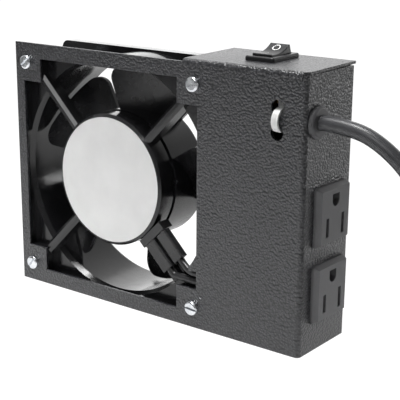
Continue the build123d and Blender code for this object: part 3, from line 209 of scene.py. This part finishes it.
# Metals
zinc = metal("bright_zinc", (0.62, 0.64, 0.67), (0.82, 0.84, 0.86), 0.24)
steel = metal("turned_steel", (0.46, 0.46, 0.47), (0.62, 0.62, 0.63), 0.26)
tinned = metal("tinned_metal", (0.60, 0.60, 0.58), (0.76, 0.75, 0.73), 0.32)
brass = metal("rolled_brass", (0.62, 0.43, 0.16), (0.78, 0.57, 0.25), 0.30)
rotor_iron = metal("grey_rotor_iron", (0.20, 0.20, 0.21), (0.31, 0.31, 0.32), 0.42)
laminations = banded(
    "stator_laminations",
    (0.30, 0.30, 0.31),
    dark=(0.18, 0.17, 0.16),
    light=(0.36, 0.36, 0.37),
    roughness=0.40,
    direction="Y",
    scale=320.0,
    distortion=0.4,
    depth=0.00008,
)
copper = banded(
    "enamelled_windings",
    (0.46, 0.17, 0.06),
    dark=(0.26, 0.08, 0.03),
    light=(0.56, 0.22, 0.09),
    roughness=0.28,
    direction="DIAGONAL",
    scale=520.0,
    distortion=0.8,
    depth=0.00012,
)

# Plastics, rubber and print
impeller_plastic = moulded(
    "satin_black_impeller", (0.010, 0.010, 0.011), (0.017, 0.017, 0.019), 0.24, depth=0.000004
)
switch_plastic = moulded("black_switch_nylon", (0.014, 0.014, 0.015), (0.022, 0.022, 0.024), 0.38)
outlet_plastic = moulded("charcoal_outlet_plastic", (0.118, 0.118, 0.122), (0.135, 0.135, 0.140), 0.46)
block_plastic = moulded("black_terminal_plastic", (0.012, 0.012, 0.013), (0.020, 0.020, 0.021), 0.34)
sleeve_vinyl = moulded("black_sleeve_vinyl", (0.012, 0.012, 0.013), (0.022, 0.022, 0.023), 0.22)
cord_vinyl = moulded("dark_grey_cord_vinyl", (0.050, 0.051, 0.055), (0.066, 0.067, 0.072), 0.36, 1500.0)
rubber = moulded("dark_grey_rubber", (0.075, 0.075, 0.079), (0.095, 0.095, 0.100), 0.46, 1500.0)
black_vinyl = moulded("black_lead_vinyl", (0.014, 0.014, 0.015), (0.022, 0.022, 0.023), 0.32)
white_vinyl = moulded("white_lead_vinyl", (0.66, 0.66, 0.63), (0.75, 0.75, 0.72), 0.36)
green_vinyl = moulded("green_lead_vinyl", (0.015, 0.16, 0.045), (0.025, 0.22, 0.065), 0.36)
wrap_fabric = moulded("black_wrap_loop", (0.010, 0.010, 0.011), (0.024, 0.024, 0.026), 0.78, 1800.0, 0.0003)
fibre = moulded("dark_fibre_sheet", (0.040, 0.038, 0.036), (0.060, 0.057, 0.054), 0.62, 900.0, 0.00005)
print_white = moulded("white_pad_print", (0.78, 0.78, 0.77), (0.86, 0.86, 0.85), 0.5)

finishes = {
    "housing": coat,
    "fan_frame": gloss,
    "fan_label": paper,
    "fan_screws": zinc,
    "fan_nuts": zinc,
    "impeller": impeller_plastic,
    "rotor_ring": rotor_iron,
    "rotor_shaft": steel,
    "shaft_clip": steel,
    "spring_washer": steel,
    "front_bearing": steel,
    "rear_bearing": steel,
    "stator_core": laminations,
    "stator_coils": copper,
    "terminal_block": block_plastic,
    "fan_terminals": tinned,
    "terminal_sleeves": sleeve_vinyl,
    "fan_leads": black_vinyl,
    "switch_body": switch_plastic,
    "switch_rocker": switch_plastic,
    "switch_terminals": brass,
    "contact_bar": brass,
    "outlet_upper": outlet_plastic,
    "outlet_lower": outlet_plastic,
    "contacts_upper": brass,
    "contacts_lower": brass,
    "line_bus": brass,
    "neutral_bus": tinned,
    "ground_bus": brass,
    "line_wires": black_vinyl,
    "neutral_wire": white_vinyl,
    "ground_wires": green_vinyl,
    "ring_terminals": tinned,
    "ground_stud": zinc,
    "ground_nut": zinc,
    "barrier": fibre,
    "cord_grommet": rubber,
    "cord_inner": cord_vinyl,
    "cable_tie": tie_nylon,
    "coil_wrap": wrap_fabric,
    "plug_body": cord_vinyl,
    "plug_blades": brass,
}
for name, material in finishes.items():
    nodes[name].data.materials.clear()
    nodes[name].data.materials.append(material)


# Plain marks printed on the rocker: a bar on the pressed end and a ring on the raised one
joints = {joint["name"]: joint for joint in frame["record"]["behaviour"]["joints"]}
rocker_pivot = Vector(joints["rocker_tilt"]["pos_m"])
rocker_lean = Matrix.Rotation(math.radians(13.0), 3, "X")
rocker_hollow = 16.1
rocker_middle = 3.1
print_lift = 0.03
ring_middle = 4.0
ring_inside = 1.4
ring_outside = 2.0
ring_points = 48
bar_start = -6.2
bar_pitch = 0.5
bar_points = 9
bar_half = 0.32


# A place on the rocker's hollow top, given across it and along it in millimetres
def on_rocker(across, along):
    height = rocker_middle + rocker_hollow - math.sqrt(rocker_hollow**2 - along**2)
    return rocker_pivot + rocker_lean @ Vector((across, along, height + print_lift)) / 1000


# A printed band between two rows of places
def printed(name, first_row, second_row, closed):
    count = len(first_row)
    faces = []
    for step in range(count if closed else count - 1):
        after = (step + 1) % count
        faces.append((step, after, count + after, count + step))
    mesh = bpy.data.meshes.new(name)
    mesh.from_pydata([on_rocker(*place) for place in first_row + second_row], [], faces)
    mesh.materials.append(print_white)
    piece = linked(name, mesh)
    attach(piece, "rocker")


def ring_row(radius):
    turns = [2 * math.pi * step / ring_points for step in range(ring_points)]
    return [(radius * math.cos(turn), ring_middle + radius * math.sin(turn)) for turn in turns]


def bar_row(across):
    return [(across, bar_start + bar_pitch * step) for step in range(bar_points)]


printed("rocker_ring_mark", ring_row(ring_inside), ring_row(ring_outside), True)
printed("rocker_bar_mark", bar_row(-bar_half), bar_row(bar_half), False)

# Power cord: out of the grommet, down to the floor, round its hank and out to the plug
cord_radius = 0.0034
cord_points = [
    from_fan(111.0, 8.8, 41.7),
    from_fan(127.5, 8.8, 41.7),
    from_fan(141.7, 9.2, 36.2),
    from_fan(155.0, 10.5, 24.8),
    from_fan(163.2, 12.7, 8.3),
    from_fan(170.6, 15.5, -11.0),
    from_fan(178.6, 18.5, -30.0),
    from_fan(189.2, 21.7, -45.4),
    from_fan(203.2, 20.9, -54.8),
    from_fan(216.2, 16.2, -57.7),
    from_fan(222.8, 14.7, -57.8),
]

# The hank: two folds joined by straight runs, its turns a cord apart, in millimetres
hank_middle = 207.7
hank_back = 35.4
hank_run = 40.0
cord_pitch = 6.8
inner_turn = 20.8
low_level = -57.8
fold_points = 8
run_points = 3
points_a_half = fold_points + run_points
points_a_turn = 2 * points_a_half
fold_step = math.pi / fold_points


# A smooth step that goes from 0 to 1 between two places
def risen(start, end, value):
    share = min(1.0, max(0.0, (value - start) / (end - start)))
    return share * share * (3 - 2 * share)


# A control point of the hank: each half turn has those of a fold, then those of a run
def hank_point(place, radius, up):
    half, spot = divmod(place, points_a_half)
    side = 1 - 2 * half
    if spot < fold_points:
        angle = (spot - (fold_points - 1) / 2) * fold_step
        reach = radius / math.cos(fold_step / 2)
        along = hank_run / 2 + reach * math.cos(angle)
        aside = reach * math.sin(angle)
    else:
        along = (fold_points + 1 - spot) * (hank_run / 2 - radius * math.tan(fold_step / 2))
        aside = radius
    return from_fan(hank_middle + side * along, hank_back + side * aside, up)


# Turns outwards below, turns inwards on top, then up to the plug
for step in range(points_a_turn * 5 + 10):
    outwards = risen(16, 21, step) + risen(38, 43, step)
    inwards = risen(72, 78, step) + risen(94, 100, step) - 0.62 * risen(115, 120, step)
    climb = risen(54, 63, step) + risen(110, 118, step)
    radius = inner_turn + cord_pitch * (outwards - inwards)
    cord_points.append(hank_point(step % points_a_turn, radius, low_level + cord_pitch * climb))
cord_points += [
    from_fan(199.2, 60.4, -44.1),
    from_fan(177.2, 60.4, -43.8),
    from_fan(162.7, 45.9, -42.0),
    from_fan(162.7, 24.9, -38.0),
    from_fan(177.2, 10.4, -34.1),
    from_fan(192.2, 10.4, -34.1),
]

cord_curve = bpy.data.curves.new("mains_cord", "CURVE")
cord_curve.dimensions = "3D"
cord_curve.bevel_depth = cord_radius
cord_curve.bevel_resolution = 5
cord_curve.use_fill_caps = True
spline = cord_curve.splines.new("NURBS")
spline.points.add(len(cord_points) - 1)
for knot, place in zip(spline.points, cord_points):
    knot.co = (*place, 1.0)
spline.order_u = 3
spline.use_endpoint_u = True
spline.resolution_u = 6
cord_curve.materials.append(cord_vinyl)
cord = linked("mains_cord", cord_curve)
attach(cord, "housing")
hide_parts("power_cord", "power_cord_coil", "power_cord_tail")


# One value from two outputs
def combined(owner, operation, first, second):
    made = node(owner, "ShaderNodeMath", operation=operation, use_clamp=True)
    owner.node_tree.links.new(first, made.inputs[0])
    owner.node_tree.links.new(second, made.inputs[1])
    return made.outputs["Value"]


# 1 seen straight or through a clear piece, the mirrored share in a gloss, 0 for light that falls
def seen_share(owner, mirrored):
    path = node(owner, "ShaderNodeLightPath")
    in_gloss = combined(owner, "MULTIPLY", path.outputs["Is Glossy Ray"], mirrored)
    straight = combined(owner, "ADD", path.outputs["Is Camera Ray"], path.outputs["Is Transmission Ray"])
    return combined(owner, "ADD", straight, in_gloss)


# Floor: white to the camera, and in a gloss white near the object and dimmer further out
floor_reach = 3.0
floor_drop = 0.0005
white_share = 0.9
mirrored_scale = 2.2
floor_corners = [(-1, -1), (1, -1), (1, 1), (-1, 1)]
floor_mesh = bpy.data.meshes.new("studio_floor")
floor_mesh.from_pydata([(floor_reach * x, floor_reach * y, 0) for x, y in floor_corners], [], [(0, 1, 2, 3)])
floor = linked("studio_floor", floor_mesh)
floor.location.z = -floor_drop
floor_paint = plain("floor_white", (0.86, 0.86, 0.86), 0.8)
floor_glow = node(floor_paint, "ShaderNodeEmission")
floor_glow.inputs["Strength"].default_value = 1.15
floor_scale = node(floor_paint, "ShaderNodeMapping")
floor_scale.inputs["Scale"].default_value = (mirrored_scale, mirrored_scale, mirrored_scale)
floor_fade = node(floor_paint, "ShaderNodeTexGradient", gradient_type="SPHERICAL")
floor_mirrored = node(floor_paint, "ShaderNodeMapRange")
floor_mirrored.inputs["To Min"].default_value = 0.1
floor_share = node(floor_paint, "ShaderNodeMath", operation="MULTIPLY")
floor_share.inputs[1].default_value = white_share
floor_mix = node(floor_paint, "ShaderNodeMixShader")
join(floor_paint, node(floor_paint, "ShaderNodeTexCoord"), "Object", floor_scale, "Vector")
join(floor_paint, floor_scale, "Vector", floor_fade, "Vector")
join(floor_paint, floor_fade, "Fac", floor_mirrored, "Value")
floor_seen = seen_share(floor_paint, floor_mirrored.outputs["Result"])
floor_paint.node_tree.links.new(floor_seen, floor_share.inputs[0])
join(floor_paint, floor_share, "Value", floor_mix, "Fac")
join(floor_paint, shader_of(floor_paint), "BSDF", floor_mix, 1)
join(floor_paint, floor_glow, "Emission", floor_mix, 2)
join(floor_paint, floor_mix, "Shader", floor_paint.node_tree.nodes["Material Output"], "Surface")
floor_mesh.materials.append(floor_paint)

# World: white to the camera, a low light on the object, and in a gloss white only at the back left
world = bpy.data.worlds.new("studio")
world.use_nodes = True
scene.world = world
sky = world.node_tree.nodes["Background"]
sky.inputs["Color"].default_value = (1.0, 1.0, 1.0, 1.0)
world_level = node(world, "ShaderNodeMapRange")
world_level.inputs["To Min"].default_value = 0.10
world_level.inputs["To Max"].default_value = 1.0
world_side = node(world, "ShaderNodeVectorMath", operation="DOT_PRODUCT")
world_side.inputs[1].default_value = (-0.6, 0.8, 0.0)
world_mirrored = node(world, "ShaderNodeMapRange")
world_mirrored.inputs["From Min"].default_value = 0.0
world_mirrored.inputs["From Max"].default_value = 0.8
world_mirrored.inputs["To Min"].default_value = 0.1
join(world, node(world, "ShaderNodeTexCoord"), "Generated", world_side, 0)
join(world, world_side, "Value", world_mirrored, "Value")
world_seen = seen_share(world, world_mirrored.outputs["Result"])
world.node_tree.links.new(world_seen, world_level.inputs["Value"])
join(world, world_level, "Result", sky, "Strength")


# Soft area lamps that the camera doesn't see: metres, watts and degrees
def softbox(name, place, target, width, height, power, spread=180.0):
    lamp = bpy.data.lights.new(name, "AREA")
    lamp.shape = "RECTANGLE"
    lamp.size = width
    lamp.size_y = height
    lamp.energy = power
    lamp.spread = math.radians(spread)
    holder = linked(name, lamp)
    holder.location = place
    holder.rotation_mode = "QUATERNION"
    holder.rotation_quaternion = (Vector(target) - Vector(place)).to_track_quat("-Z", "Y")
    holder.visible_camera = False


softbox("front_softbox", (0.15, -0.75, 0.75), (0.0, 0.0, 0.06), 0.35, 0.35, 0.4, 90.0)
softbox("front_floor_softbox", (-0.10, -0.15, 1.0), (-0.10, -0.15, 0.0), 0.3, 0.3, 1.4, 45.0)
softbox("right_low_softbox", (0.40, 0.42, 0.10), (0.084, 0.02, 0.01), 0.4, 0.1, 0.07, 60.0)
softbox("back_wall_softbox", (-0.6, 0.8, 0.32), (0.0, 0.0, 0.12), 1.4, 0.6, 2.5)

scene.view_settings.view_transform = "Standard"
